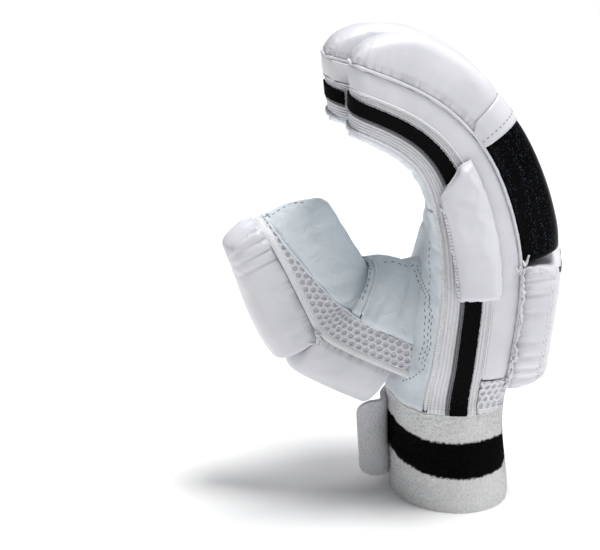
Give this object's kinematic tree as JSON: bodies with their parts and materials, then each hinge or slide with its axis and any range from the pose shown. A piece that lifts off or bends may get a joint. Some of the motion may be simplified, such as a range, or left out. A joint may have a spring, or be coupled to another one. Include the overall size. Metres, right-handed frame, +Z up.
{
  "type": "cricket batting glove",
  "caption": "Left-hand cricket batting glove with padded finger rolls, leather palm, mesh gussets and towelling cuff, standing on its cuff with the fingers curled.",
  "frame": {"origin": "centre of the bounding box, on the surface that the cuff stands on", "axes": "+Z up from the cuff to the fingers, +X out of the back of the hand, -X out of the palm, +Y towards the thumb side, -Y towards the little finger side"},
  "size_m": [0.185, 0.1212, 0.2738],
  "materials": {
    "white_pu": "smooth coated leather with a soft sheen",
    "black_pu": "glossy coated leather",
    "sheepskin": "matt fine-grained sheepskin",
    "elastic_tape": "ribbed woven elastic",
    "black_tape": "knitted black tape",
    "air_mesh": "white spacer mesh",
    "towelling": "looped cotton towelling with a black band",
    "strap_pile": "napped loop pile"
  },
  "bodies": {
    "root": {"wristband": "towelling", "back_mesh": "air_mesh", "palm": "sheepskin", "thumb_heel": "sheepskin", "thumb_front": "sheepskin", "thumb_gusset": "air_mesh", "thumb_back": "white_pu", "thumb_base_pad": "white_pu", "thumb_tip_pad": "white_pu", "side_facing_index": "white_pu", "side_tape_index": "elastic_tape", "finger_front_index": "sheepskin", "finger_back_index": "elastic_tape", "finger_roll_index": "white_pu", "knuckle_roll_index": "white_pu", "side_facing_middle": "white_pu", "side_tape_middle": "elastic_tape", "finger_front_middle": "sheepskin", "finger_back_middle": "elastic_tape", "finger_roll_middle": "white_pu", "knuckle_roll_middle": "white_pu", "side_facing_ring": "white_pu", "side_tape_ring": "elastic_tape", "finger_front_ring": "sheepskin", "finger_back_ring": "elastic_tape", "finger_roll_ring": "white_pu", "knuckle_roll_ring": "white_pu", "side_facing_little": "white_pu", "side_tape_little": "elastic_tape", "finger_front_little": "sheepskin", "finger_back_little": "elastic_tape", "finger_roll_little": "white_pu", "knuckle_roll_little": "black_pu", "hand_pad": "white_pu", "index_pad": "white_pu", "side_bar": "white_pu", "tape_stripe_index": "black_tape", "tape_stripe_middle": "black_tape", "tape_stripe_ring": "black_tape", "tape_stripe_little": "black_tape", "tape_stripe_wrist": "black_tape", "wrist_strap": "strap_pile"}
  },
  "joints": []
}
